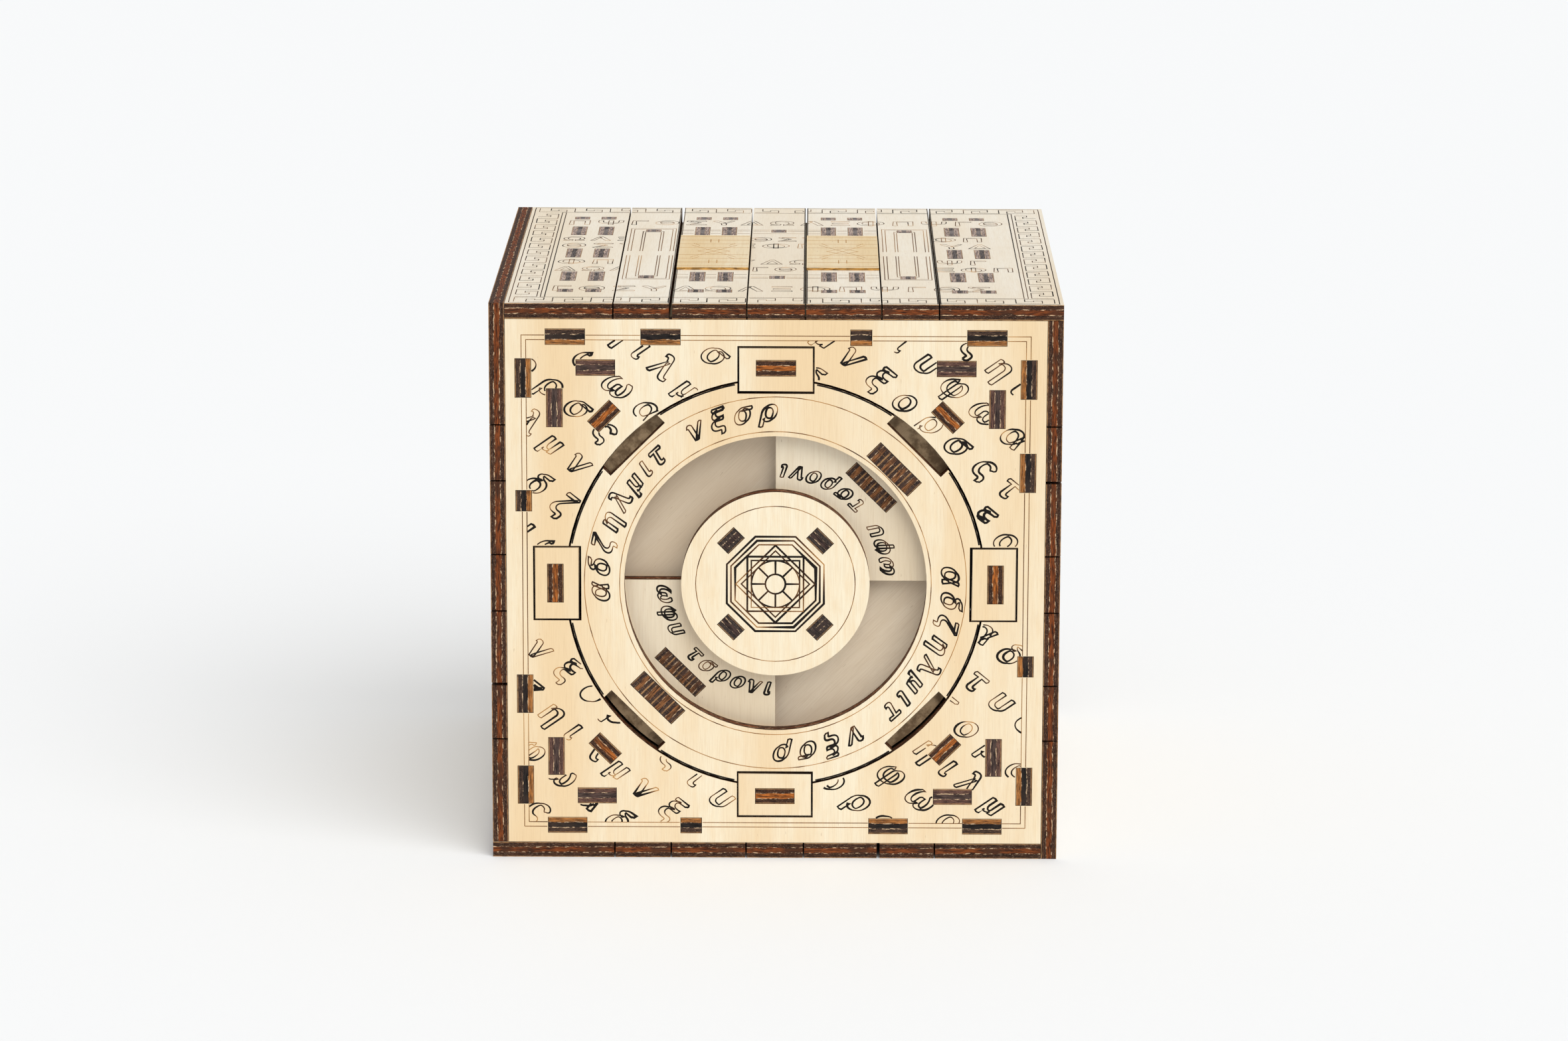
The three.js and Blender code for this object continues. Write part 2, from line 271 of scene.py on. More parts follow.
def ply(name, across, middle, grain, pale=PALE, warm=WARM, outer=SCORCHED, core=RED_PLY, inner=None,
        shift=(0, 0, 0), shaded_beyond=None, stacked=False, sheen=0.0):
    """Plywood lying in one plane: across is its normal and middle the middle of its thickness, in mm.

    Painted shade darkens its face beyond a given radius from the front's centre, for the shade down in the
    ring's narrow rim notches. A stacked piece is glued up from more than one sheet.
    """
    material, t, shader = new_material(name)
    where, place = place_in_mm(t, shift)
    face = t.node("ShaderNodeGroup", node_tree=FACE_GROUP)
    cut = t.node("ShaderNodeGroup", node_tree=CUT_GROUP)
    for group in (face, cut):
        t.tree.links.new(place, group.inputs["Place"])
    face.inputs["Grain"].default_value = grain
    face.inputs["Pale"].default_value = pale
    face.inputs["Warm"].default_value = warm
    cut.inputs["Across"].default_value = across
    cut.inputs["Outer"].default_value = outer
    cut.inputs["Middle"].default_value = core
    cut.inputs["Inner"].default_value = inner or outer
    shifted_middle = middle + Vector(shift).dot(across)
    depth = t.math("SUBTRACT", t.vector("DOT_PRODUCT", place, tuple(across)), shifted_middle)
    if stacked:
        depth = t.math("WRAP", depth, SHEET * 0.55, -SHEET * 0.55)
    t.tree.links.new(depth, cut.inputs["Depth"])
    facing = t.math("ABSOLUTE", t.vector("DOT_PRODUCT", where.outputs["Normal"], tuple(across)))
    is_face = t.span(facing, 0.5, 0.7)
    face_colour = face.outputs["Color"]
    # Painted shade: beyond the given radius the face is darkened, for the shade down in the rim notches.
    if shaded_beyond:
        centre = (shift[0], shift[1], shift[2] + CENTRE_Z)
        flat = t.vector("MULTIPLY", t.vector("SUBTRACT", place, centre), (1, 0, 1))
        reach = t.node("ShaderNodeVectorMath", {0: flat}, operation="LENGTH").outputs["Value"]
        shade_tint = t.mix(t.span(t.noise(place, 0.35, 4.0, 0.65), 0.38, 0.62), DARK_PAINTED_SHADE, LIGHT_PAINTED_SHADE)
        painted_shade = t.mix(1.0, face_colour, shade_tint, "MULTIPLY")
        face_colour = t.mix(t.span(reach, shaded_beyond - 0.6, shaded_beyond + 0.4), face_colour, painted_shade)
    colour = t.mix(is_face, cut.outputs["Color"], face_colour)
    t.tree.links.new(colour, shader.inputs["Base Color"])
    t.tree.links.new(t.span(is_face, 0, 1, 0.72, 0.58), shader.inputs["Roughness"])
    height = t.math("ADD", t.math("MULTIPLY", face.outputs["Height"], is_face),
                    t.math("MULTIPLY", cut.outputs["Height"], t.math("SUBTRACT", 1.0, is_face)))
    shader.inputs["Specular IOR Level"].default_value = 0.2
    t.tree.links.new(t.math("MULTIPLY", is_face, sheen), shader.inputs["Sheen Weight"])
    bump = t.node("ShaderNodeBump", {"Strength": 0.35, "Distance": 0.00006, "Height": height})
    t.tree.links.new(bump.outputs[0], shader.inputs["Normal"])
    return material


def char(name):
    """Engraved lines: amber where the laser only touched, black where it dwelt. The same dark lines also
    paint the shade in the gaps round the ring and the tabs.
    """
    material, t, shader = new_material(name)
    burn = t.node("ShaderNodeAttribute", attribute_name="burn").outputs["Fac"]
    where, place = place_in_mm(t, (0, 0, 0))
    grit = t.noise(place, 4.0, 3.0)
    amount = t.math("ADD", burn, t.math("MULTIPLY_ADD", grit, 0.4, -0.2))
    brown = t.mix(t.span(amount, 0.05, 0.45), (0.5, 0.25, 0.075, 1), (0.13, 0.05, 0.016, 1))
    colour = t.mix(t.span(amount, 0.35, 0.75), brown, SOFT_BLACK)
    t.tree.links.new(colour, shader.inputs["Base Color"])
    shader.inputs["Roughness"].default_value = 0.85
    shader.inputs["Specular IOR Level"].default_value = 0.2
    return material


def end_grain(name, across, outer, core):
    """The end of a tenon let into a face; its mesh carries each point's depth through the sheet."""
    material, t, shader = new_material(name)
    where, place = place_in_mm(t, (0, 0, 0))
    cut = t.node("ShaderNodeGroup", node_tree=CUT_GROUP)
    t.tree.links.new(place, cut.inputs["Place"])
    depth = t.node("ShaderNodeAttribute", attribute_name="depth").outputs["Fac"]
    t.tree.links.new(depth, cut.inputs["Depth"])
    cut.inputs["Across"].default_value = across
    cut.inputs["Outer"].default_value = outer
    cut.inputs["Middle"].default_value = core
    cut.inputs["Inner"].default_value = outer
    t.tree.links.new(cut.outputs["Color"], shader.inputs["Base Color"])
    shader.inputs["Roughness"].default_value = 0.75
    shader.inputs["Specular IOR Level"].default_value = 0.25
    bump = t.node("ShaderNodeBump", {"Strength": 0.4, "Distance": 0.00006, "Height": cut.outputs["Height"]})
    t.tree.links.new(bump.outputs[0], shader.inputs["Normal"])
    return material


CHAR_AND_GAP_SHADE = char("engraved_char_and_gap_shade")


# ---- the CAD nodes' materials ----
def side_axes(turn):
    """Along the side, out of the side, both square to Y. Sides go clockwise from the top."""
    angle = turn * math.pi / 2
    along = Vector((round(math.cos(angle)), 0, -round(math.sin(angle))))
    out = Vector((round(math.sin(angle)), 0, round(math.cos(angle))))
    return along, out


def dress(node, material):
    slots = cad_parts[node].data.materials
    slots.clear()
    slots.append(material)


def mean_depth(node, out):
    low, high = box_mm(node)
    return ((low + high) / 2).dot(out)


def dress_all():
    front_middle = -HALF + SHEET / 2
    dress("front_plate", ply("plate_front_ply", Y, front_middle, Z))
    dress("back_plate", ply("plate_back_ply", Y, -front_middle, Z, shift=(130, 0, 40)))
    dress("lid_ring", ply("ring_ply", Y, front_middle, Z, shift=(60, 0, 9)))
    dress("centre_disc", ply("disc_ply", Y, front_middle, Z, shift=(-80, 0, 31)))
    dress("dial_plate", ply("dial_ply", Y, DIAL_FRONT + SHEET / 2, Z, (0.92, 0.81, 0.62, 1),
                            (0.84, 0.7, 0.5, 1), shift=(20, 0, 70)))
    # The tray's face carries painted shade past the edge of the ring's rim notches.
    dress("lid_tray", ply("smoked_ply", Y, TRAY_BACK - SHEET / 2, Vector((1, 0, 1)).normalized(),
                          (0.93, 0.81, 0.63, 1), (0.74, 0.6, 0.43, 1), shift=(0, 0, 17),
                          shaded_beyond=RING_CLEAR, stacked=True))
    for turn, side in enumerate(SIDES):
        along, out = side_axes(turn)
        centre = Z * CENTRE_Z
        for index in range(1, 8):
            middle = (HALF - SHEET / 2) + centre.dot(out)
            shift = (13.0 * index, 7.0 * turn, 5.0 * index)
            dress(f"slat_{side}_{index}", ply(f"slat_ply_{side}_{index}", out, middle, Y,
                                              SLAT_PALE, SLAT_WARM, shift=shift, sheen=0.2))
        dress(f"wall_{side}", ply(f"wall_ply_{side}", out, mean_depth(f"wall_{side}", out), Y,
                                  outer=(0.05, 0.03, 0.022, 1), core=BLACK_PLY, inner=(0.3, 0.13, 0.035, 1),
                                  shift=(5, 0, 11 * turn)))
        dress(f"guide_frame_{side}", ply(f"guide_ply_{side}", out, mean_depth(f"guide_frame_{side}", out), Y,
                                         outer=(0.1, 0.055, 0.045, 1), core=(0.075, 0.05, 0.045, 1),
                                         shift=(8, 0, 7 * turn)))
        bolt = f"bolt_plate_{side}"
        dress(bolt, ply(f"bolt_ply_{side}", out, mean_depth(bolt, out), Y, core=ORANGE_PLY,
                        shift=(1, 0, 3 * turn)))
        dress(f"bolt_tab_{side}", ply(f"tab_ply_{side}", Y, front_middle, Z, shift=(17 * turn, 0, 23)))
        slant = (along + out).normalized()
        brace = f"corner_brace_{side}"
        dress(brace, ply(f"brace_ply_{side}", slant, mean_depth(brace, slant), Y, core=ORANGE_PLY,
                         shift=(3, 0, 5 * turn)))
        for index in (3, 5):
            tile = f"tile_{side}_{index}"
            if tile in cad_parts:
                dress(tile, ply(f"tile_ply_{side}_{index}", out, mean_depth(tile, out), Y,
                                (0.86, 0.72, 0.49, 1), (0.8, 0.6, 0.33, 1), (0.5, 0.27, 0.07, 1),
                                (0.6, 0.34, 0.1, 1), shift=(31 * index, 0, 5 * turn)))


dress_all()


# ---- engraved lines, drawn in millimetres on a flat face ----
class Face:
    """A flat face: its origin, two directions on it and the normal out of it."""

    def __init__(self, origin, right, up):
        self.origin, self.right, self.up = origin, right, up
        self.out = right.cross(up)

    def at(self, u, v, height=0.0):
        return (self.origin + self.right * u + self.up * v + self.out * height) * MM


def ribbon_sections(points, closed, width):
    """The left and right edge of a line at each of its points, mitred at the bends."""
    count = len(points)
    sections = []
    for i, point in enumerate(points):
        before = points[i - 1] if closed or i else None
        after = points[(i + 1) % count] if closed or i < count - 1 else None
        steps = []
        if before is not None:
            steps.append((point - before).normalized())
        if after is not None:
            steps.append((after - point).normalized())
        along = sum(steps, Vector((0, 0)))
        if along.length < 0.2:
            along = steps[-1]
        along = along.normalized()
        side = Vector((-along.y, along.x))
        stretch = 1 / max(0.55, abs(along.dot(steps[-1])))
        sections.append((point, side * (stretch * width(i) / 2)))
    return sections


class LineMesh:
    """Collects what the laser drew on one face for one body, with the tenon ends let into it, as one mesh. It
    also holds lines of painted shade in gaps.
    """

    RISE = 0.03  # how far a line's crown stands out of the face, in mm
    FOOT = -0.004  # where its edges lie, just under the face

    def __init__(self, name, face, body, slot, inlay_material=None):
        self.name, self.face, self.body, self.slot = name, face, body, slot
        self.materials = [CHAR_AND_GAP_SHADE] + ([inlay_material] if inlay_material else [])
        self.points, self.faces, self.burns, self.depths, self.kinds = [], [], [], [], []

    def add_point(self, u, v, height, burn=0.0, depth=0.0):
        self.points.append(self.face.at(u, v, height))
        self.burns.append(burn)
        self.depths.append(depth)

    def add_faces(self, faces, kind):
        self.faces += faces
        self.kinds += [kind] * len(faces)

    def line(self, points, closed, width, burn=0.5, vary=0.0, seed=0.0):
        points = tidy_line(points, closed)
        if len(points) < 2:
            return
        amount = [burn + vary * noise.noise(Vector((p.x * 0.33, p.y * 0.33, seed))) for p in points]
        grow = [width * (1 + (0.9 * (a - burn) if vary else 0)) for a in amount]
        sections = ribbon_sections(points, closed, lambda i: max(grow[i], width * 0.6))
        start = len(self.points)
        for (point, side), burnt in zip(sections, amount):
            for offset, height in ((side, self.FOOT), (side * 0, self.RISE), (-side, self.FOOT)):
                self.add_point(point.x + offset.x, point.y + offset.y, height, burnt)
        count = len(sections)
        faces = []
        for i in range(count if closed else count - 1):
            a, b = start + 3 * i, start + 3 * ((i + 1) % count)
            for k in range(3):
                n = (k + 1) % 3
                faces.append((a + k, a + n, b + n, b + k))
        if not closed:
            last = start + 3 * (count - 1)
            faces += [(start + 2, start + 1, start), (last, last + 1, last + 2)]
        self.add_faces(faces, 0)

    def inlay(self, spot, long, thick, angle=0.0, outline=0.16):
        """A tenon end: long along the sheet it belongs to, thick through it, turned by an angle."""
        turn = Matrix.Rotation(math.radians(angle), 2)
        corners = [Vector((a * long / 2, b * thick / 2)) for a, b in ((-1, -1), (1, -1), (1, 1), (-1, 1))]
        start = len(self.points)
        for height in (-self.RISE, self.RISE * 0.7):
            for corner in corners:
                place = turn @ corner + spot
                self.add_point(place.x, place.y, height, 0.0, corner.y * SHEET / thick)
        b = start
        self.add_faces([
            (b + 3, b + 2, b + 1, b), (b + 4, b + 5, b + 6, b + 7), (b, b + 1, b + 5, b + 4),
            (b + 1, b + 2, b + 6, b + 5), (b + 2, b + 3, b + 7, b + 6), (b + 3, b, b + 4, b + 7),
        ], 1)
        if outline:
            self.line([turn @ c + spot for c in corners], True, outline, 0.75, 0.4)

    def make(self):
        if not self.faces:
            return
        mesh = bpy.data.meshes.new(self.name)
        mesh.from_pydata(self.points, [], self.faces)
        for label, values in (("burn", self.burns), ("depth", self.depths)):
            mesh.attributes.new(label, "FLOAT", "POINT").data.foreach_set("value", values)
        mesh.polygons.foreach_set("material_index", self.kinds)
        for material in self.materials:
            mesh.materials.append(material)
        piece = bpy.data.objects.new(self.name, mesh)
        bpy.context.collection.objects.link(piece)
        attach(piece, self.body)


def path_length(points):
    return sum((b - a).length for a, b in itertools.pairwise(points))


def tidy_line(points, closed):
    """Drops points that lie on top of the one before."""
    kept = []
    for point in points:
        if not kept or (point - kept[-1]).length > 0.02:
            kept.append(point)
    if closed and len(kept) > 2 and (kept[0] - kept[-1]).length <= 0.02:
        kept.pop()
    return kept


LEAST_RUN = 0.15  # mm of line too short to draw


def clip(points, closed, inside, step=0.12):
    """The stretches of a line where inside(point) holds, as (points, closed)."""
    ring = points + [points[0]] if closed else points
    runs, run, whole = [], [], True
    for a, b in zip(ring, ring[1:]):
        pieces = max(1, math.ceil((b - a).length / step))
        last = None
        for i in range(pieces + 1):
            p = a.lerp(b, i / pieces)
            if inside(p):
                if not run or i in (0, pieces):
                    run.append(p)
                last = p
                continue
            whole = False
            if run:
                runs.append(run + ([last] if last else []))
            run = []
    if whole:
        return [(points, closed)]
    if run:
        runs.append(run)
    return [(r, False) for r in runs if len(r) > 1 and path_length(r) > LEAST_RUN]


def heading(angle):
    """The direction at an angle in degrees."""
    return Vector((math.cos(math.radians(angle)), math.sin(math.radians(angle))))


def circle(radius, count=96):
    angles = [2 * math.pi * i / count for i in range(count)]
    return [Vector((radius * math.cos(a), radius * math.sin(a))) for a in angles]


def rectangle(u0, v0, u1, v1):
    return [Vector((u0, v0)), Vector((u1, v0)), Vector((u1, v1)), Vector((u0, v1))]


# ---- outlined letters of the Greek alphabet, from Blender's own font ----
GLYPHS = {}
SMALL_LETTERS = "αδζηιλμνξορσςτυφω"
CAPITALS = "ΓΘΣΥΔΩΛΞΦΠΨ"


def glyph(letter):
    """A letter's outlines, slanted and given a pen's thick and thin strokes, one em high."""
    if letter not in GLYPHS:
        data = bpy.data.curves.new("glyph", "FONT")
        data.body = letter
        source = bpy.data.objects.new("glyph", data)
        bpy.context.collection.objects.link(source)
        curve = source.to_curve(bpy.context.evaluated_depsgraph_get())
        outlines = []
        for spline in curve.splines:
            knots = spline.bezier_points
            outline = []
            for a, b in zip(knots, list(knots[1:]) + [knots[0]]):
                straight = (b.co - a.co).length > 0.12 and a.handle_right_type == "VECTOR"
                steps = 2 if straight else 4
                span = interpolate_bezier(a.co, a.handle_right, b.handle_left, b.co, steps)
                outline += [Vector((p.x, p.y)) for p in span[:-1]]
            outlines.append(tidy_em(outline))
        ink_side = math.copysign(1, max((area(o) for o in outlines), key=abs))
        slant = 0.0 if letter.isupper() else 0.26
        outlines = [pen_stroke(outline, ink_side, slant) for outline in outlines]
        width = max(p.x for o in outlines for p in o)
        GLYPHS[letter] = (outlines, width)
        source.to_curve_clear()
        bpy.data.objects.remove(source)
    return GLYPHS[letter]


def tidy_em(outline):
    kept = []
    for point in outline:
        if not kept or (point - kept[-1]).length > 0.012:
            kept.append(point)
    return kept


def area(outline):
    return sum(a.x * b.y - b.x * a.y for a, b in zip(outline, outline[1:] + outline[:1])) / 2


def pen_stroke(outline, ink_side, slant, weight=0.01, contrast=0.05):
    """Makes strokes bolder, most of all those that fall from upper left to lower right, like a nib."""
    nib = heading(40)
    count = len(outline)
    moved = []
    for i, point in enumerate(outline):
        along = (outline[(i + 1) % count] - outline[i - 1]).normalized()
        away = Vector((along.y, -along.x)) * ink_side
        point = point + away * (weight + contrast * (abs(away.dot(nib)) - 0.45))
        moved.append(Vector((point.x + slant * point.y, point.y)))
    return moved


def place_glyph(letter, size, spot, angle):
    """The letter's outlines, standing at a spot on the face and turned by an angle in degrees."""
    outlines, width = glyph(letter)
    turn = Matrix.Rotation(math.radians(angle), 2)
    return [[turn @ (Vector((p.x - width / 2, p.y)) * size) + spot for p in o] for o in outlines]


def letter_row(alphabet, start, size, spot, angle, length, gap=0.2):
    """A row of letters along a direction from a spot."""
    along = heading(angle)
    reach, outlines = 0.0, []
    for index in itertools.count(start):
        letter = alphabet[index % len(alphabet)]
        width = (glyph(letter)[1] + gap) * size
        if reach + width > length:
            return outlines
        outlines += place_glyph(letter, size, spot + along * (reach + width / 2), angle)
        reach += width


def letter_arc(text, size, radius, middle, face_out=True, gap=0.17):
    """Letters round an arc centred on an angle in degrees, with their feet towards the centre."""
    widths = [(glyph(c)[1] + gap) * size if c != " " else 0.75 * size for c in text]
    turn = 1 if face_out else -1
    swept = sum(widths) / radius
    angle = math.radians(middle) + turn * swept / 2
    outlines = []
    for letter, width in zip(text, widths):
        angle -= turn * width / radius / 2
        if letter != " ":
            spot = Vector((math.cos(angle), math.sin(angle))) * radius
            lean = math.degrees(angle) - 90 if face_out else math.degrees(angle) + 90
            outlines += place_glyph(letter, size, spot, lean)
        angle -= turn * width / radius / 2
    return outlines


def in_boxes(point, boxes):
    return any(u0 < point.x < u1 and v0 < point.y < v1 for u0, v0, u1, v1 in boxes)


# ---- the front and back plates ----
FRONT = Face(Vector((0, -HALF, CENTRE_Z)), X, Z)
BACK = Face(Vector((0, HALF, CENTRE_Z)), -X, Z)
LETTER = 6.6  # em of the plate's letters
BORDER = (48.8, 47.9)  # the engraved frame's two lines, from the centre
WALL_TENONS = ((-40.4, 7.5), (-22.1, 7.5), (16.3, 4.0), (40.4, 7.5))
FRAME_TENONS = ((-34.6, 7.4), (34.6, 7.4))
FINE = 0.18  # widths of engraved lines
PLAIN = 0.34
BOLD = 0.38
# width of the dark line of painted shade in the gap round the ring
RING_GAP_SHADE = 0.34
OUTLINE = 0.13
SHORTEST = 3.0  # a letter's line cut shorter than this is left out


def quarter(point, turns):
    """Turns a point on the front anticlockwise by quarter turns."""
    for _ in range(turns % 4):
        point = Vector((-point.y, point.x))
    return point


def four_ways(point):
    return [quarter(point, turn) for turn in range(4)]


def clear_of_tenons(point, room=0.12):
    for p in four_ways(point):
        for places, low, high in ((WALL_TENONS, 47, 50), (FRAME_TENONS, 41, 44)):
            for at, long in places:
                if abs(p.x - at) < long / 2 + room and low - room < p.y < high + room:
                    return False
        slant = Vector((p.x - p.y, p.x + p.y)) / math.sqrt(2)
        if abs(slant.x) < 2.9 + room and abs(slant.y - 33 * math.sqrt(2)) < 1.5 + room:
            return False
    return True


def on_plate(point):
    if point.length < RING_OUT + 0.75 or not clear_of_tenons(point):
        return False
    return not any(abs(p.x) < 7.6 and 37 < p.y < 47 for p in four_ways(point))


def in_border(point):
    return max(abs(point.x), abs(point.y)) < BORDER[1] and on_plate(point)


def letter_field(piece, inside, angle, pitch, start):
    """Slanting rows of letters over a whole plate, kept where inside holds."""
    along = heading(angle)
    up = Vector((-along.y, along.x))
    for row in range(-9, 10):
        spot = up * (row * pitch) - along * (68 - 1.7 * (row % 3))
        for outline in letter_row(SMALL_LETTERS, row * 5 + start, LETTER, spot, angle, 136, 0.32):
            if any(inside(p) for p in outline):
                for run, closed in clip(outline, True, inside):
                    if closed or path_length(run) > SHORTEST:
                        piece.line(run, closed, PLAIN, 0.78, 1.2, row * 3.1)


def double_border(piece, inside):
    for half in BORDER:
        for run, closed in clip(rectangle(-half, -half, half, half), True, inside):
            piece.line(run, closed, FINE, 0.3, 0.4)


def engrave_front():
    piece = LineMesh("front_engraving", FRONT, "shell", "plate_ply")
    letter_field(piece, in_border, -40, 8.3, 60)
    double_border(piece, clear_of_tenons)
    piece.make()


def engrave_back():
    piece = LineMesh("back_engraving", BACK, "shell", "plate_ply")
    letter_field(piece, lambda p: in_border(Vector((-p.x, p.y))) and p.length > 42, -40, 8.3, 90)
    double_border(piece, lambda p: clear_of_tenons(Vector((-p.x, p.y))))
    for radius in (40.2, 39.0, 30.4):
        piece.line(circle(radius, 120), True, FINE, 0.4, 0.4)
    for middle in (138, -42):
        for outline in letter_arc("σςτυφω αδζη", 5.8, 32.6, middle):
            piece.line(outline, True, BOLD, 0.85, 0.4, middle)
    rosette(piece, 2.4)
    piece.make()


# ---- the ring, the dial and the centre disc ----

def clear_of_rim(point):
    """Off the ring's eight rim notches: four under the bolts' tabs and four on the diagonals."""
    angle = math.degrees(math.atan2(point.y, point.x)) % 45
    return min(angle, 45 - angle) > 11.2


def laminated_end(piece, radius, angle, long, thick):
    """Four sheets side by side, end on, with a pale seam across them."""
    out = heading(angle)
    along = Vector((-out.y, out.x))
    middle = out * radius
    wide = long / 4
    for step in range(4):
        piece.inlay(middle + along * (step - 1.5) * wide, thick, wide, angle, 0)
    corners = [Vector((a * thick / 2, b * long / 2)) for a, b in ((-1, -1), (1, -1), (1, 1), (-1, 1))]
    turn = Matrix.Rotation(math.radians(angle), 2)
    piece.line([turn @ c + middle for c in corners], True, 0.2, 0.85, 0.3)
    seam = turn @ Vector((thick * 0.12, 0)) + middle
    piece.line([seam - along * (long * 0.47), seam + along * (long * 0.47)], False, 0.1, 0.1, 0.4)
    for step in (-1, 0, 1):
        joint = middle + along * (step * wide)
        piece.line([joint + turn @ Vector((-thick * 0.46, 0)), joint + turn @ Vector((thick * 0.46, 0))],
                   False, 0.1, 0.15, 0.4)


def paint_tab_gap_shadows():
    """A dark outline round each bolt's tab: painted shadow in the gap round it."""
    for turn, side in enumerate(SIDES):
        along, out = side_axes(turn)
        low, high = box_mm(f"bolt_tab_{side}")
        face = Face(Vector((0, low.y, CENTRE_Z)), along, out)
        reach = sorted(abs((corner - Z * CENTRE_Z).dot(out)) for corner in (low, high))
        half = (high - low).dot(Vector((abs(along.x), 0, abs(along.z)))) / 2
        piece = LineMesh(f"tab_gap_shadow_{side}", face, f"bolt_{side}", "tab_ply")
        inset = OUTLINE / 2
        outline = rectangle(-half + inset, reach[0] + inset, half - inset, reach[1] - inset)
        piece.line(outline, True, OUTLINE, 0.8, 0.5)
        piece.make()


def engrave_ring_and_gap_shade():
    piece = LineMesh("ring_engraving_gap_shade", FRONT, "lid", "plate_ply", KEY_END)
    # A dark line round the ring's edge: painted shade in the gap between ring and plate.
    for run, closed in clip(circle(RING_OUT - RING_GAP_SHADE / 2, 180), True, clear_of_rim):
        piece.line(run, closed, RING_GAP_SHADE, 0.95, 0.2)
    for middle in (138, -42):
        for outline in letter_arc("αδζηλμιτ νξσρ", 5.5, 32.3, middle, gap=0.13):
            piece.line(outline, True, BOLD, 0.75, 0.9, middle)
    for radius in (RING_CLEAR, 30.1):
        piece.line(circle(radius, 144), True, FINE, 0.2, 0.5, radius)
    for angle in (45, 225):
        laminated_end(piece, 32.2, angle, 11.1, 3.7)
    piece.make()


def engrave_dial():
    dial_face = Face(Vector((0, DIAL_FRONT, CENTRE_Z)), X, Z)
    piece = LineMesh("dial_engraving", dial_face, "dial", "plate_ply", KEY_END)
    for middle in (45, 225):
        for outline in letter_arc("ωφυ τσρονι", 4.4, 22.9, middle, face_out=False, gap=0.11):
            piece.line(outline, True, BOLD * 0.9, 0.78, 0.8, middle)
        laminated_end(piece, 26.1, middle, 11.0, 2.9)
    piece.make()


def polygon(radius, count, start):
    angles = [math.radians(start + 360 * i / count) for i in range(count)]
    return [Vector((radius * math.cos(a), radius * math.sin(a))) for a in angles]


def rosette(piece, scale=1.0):
    """A plain geometric rosette: nested octagons round a star of eight points."""
    wide = 0.4 * math.sqrt(scale)
    for radius in (9.4, 8.6, 7.8):
        piece.line(polygon(radius * scale, 8, 22.5), True, wide, 0.66, 1.2, radius)
    for start in (0, 45):
        piece.line(polygon(7.1 * scale, 4, start), True, wide, 0.66, 1.2, start)
        piece.line(polygon(6.1 * scale, 4, start), True, wide * 0.8, 0.6, 0.5, start + 3)
    for step in range(8):
        spoke = polygon(scale, 8, 0)[step]
        piece.line([spoke * 1.9, spoke * 4.2], False, wide, 0.7, 0.3)
    piece.line(circle(1.8 * scale, 24), True, wide, 0.7, 0.3)
    piece.line(circle(4.3 * scale, 48), True, wide * 0.8, 0.6, 0.4)


PEG_AT = 12.15  # the four pegs of the centre disc: place, and length and width
PEG = (4.35, 2.9)


def engrave_disc():
    piece = LineMesh("disc_engraving", FRONT, "dial", "plate_ply", PEG_END)
    piece.line(circle(15.4, 72), True, FINE, 0.3, 0.5)
    for angle in (45, 135, 225, 315):
        piece.inlay(heading(angle) * PEG_AT, *PEG, angle + 90)
    rosette(piece, 1.08)
    piece.make()


# ---- the slatted sides: u runs across a side from its left end, v back from the front edge ----
SEAMS = (-52.0, -31.2, -20.2, -5.6, 5.6, 20.2, 31.2, 55.0)
END_SLATS = (0, 6)
END_RIBS = 38.2  # the middle of the rib pair under an end slat
RIB_SPREAD = 2.75
RIB_WIDE = 3.0
DEEP = 2 * HALF
BURNT_SEAMS = {2: 0.43, 4: 0.28, 6: 0.28}  # scorched along both sides, this far from the seam's middle
KEY_IN = 1.7  # how far the Greek key lies from the edge, and its height
KEY_HIGH = 4.2
TILE_V = (36.5, 73.5)


def slat_marks(index):
    """Where the ribs' tenon ends show on a slat: (middle u, first v, last v)."""
    middle = (SEAMS[index] + SEAMS[index + 1]) / 2
    if index in END_SLATS:
        middle = math.copysign(END_RIBS, middle)
    if index % 2:
        return [(middle, 27.0, 30.0), (middle, 80.0, 83.0)]
    rows = [(12.0, 15.0), (24.0, 34.0), (76.0, 86.0), (95.0, 98.0)]
    if index in END_SLATS:
        rows.append((50.0, 60.0))
    return [(middle + side, v0, v1) for side in (-RIB_SPREAD, RIB_SPREAD) for v0, v1 in rows]


def greek_key(start, along, inward, count):
    """A Greek key along an edge: in each step it crosses the band, turns back and winds inwards."""
    shape = ((0, 0), (0, 1), (0.77, 1), (0.77, 0.42), (0.54, 0.42), (0.54, 0.62), (0.32, 0.62), (0.32, 0))
    return [start + along * (step + a) + inward * (b * KEY_HIGH) for step in range(count) for a, b in shape]


